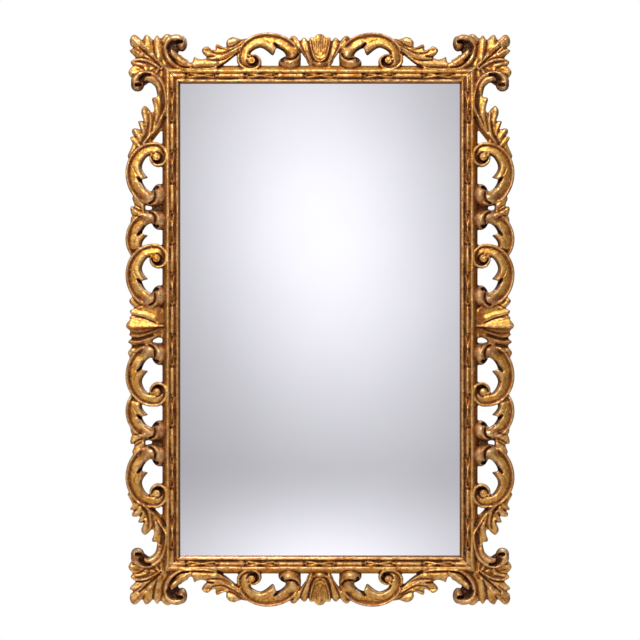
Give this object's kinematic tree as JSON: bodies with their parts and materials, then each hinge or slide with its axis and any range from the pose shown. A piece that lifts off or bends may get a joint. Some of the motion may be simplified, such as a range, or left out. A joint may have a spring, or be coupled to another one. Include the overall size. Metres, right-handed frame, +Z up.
{
  "type": "wall mirror",
  "caption": "Tall rectangular wall mirror in a pierced, carved and gilded wood frame of scrolls, leaves and shells, hung from plates on its back.",
  "frame": {"origin": "centre of the backing board's rear face, which lies on the wall plane", "axes": "+Z up, +X to the viewer's right, -Y out of the front of the glass, +Y into the wall"},
  "size_m": [0.701, 0.0353, 1.0342],
  "materials": {
    "gilt_wood": "gold leaf over red clay, worn and toned dark in the hollows",
    "mirror": "polished silvered glass",
    "board": "thin stained board",
    "steel": "dull zinc plated steel"
  },
  "bodies": {
    "root": {"left_stile": "gilt_wood", "right_stile": "gilt_wood", "top_rail": "gilt_wood", "bottom_rail": "gilt_wood", "mirror_glass": "mirror", "backing_board": "board", "board_screw_1": "steel", "board_screw_2": "steel", "board_screw_3": "steel", "board_screw_4": "steel", "board_screw_5": "steel", "board_screw_6": "steel", "board_screw_7": "steel", "board_screw_8": "steel", "hanger_plate_left": "steel", "hanger_plate_right": "steel", "hanger_screw_1": "steel", "hanger_screw_2": "steel", "hanger_screw_3": "steel", "hanger_screw_4": "steel"}
  },
  "joints": []
}
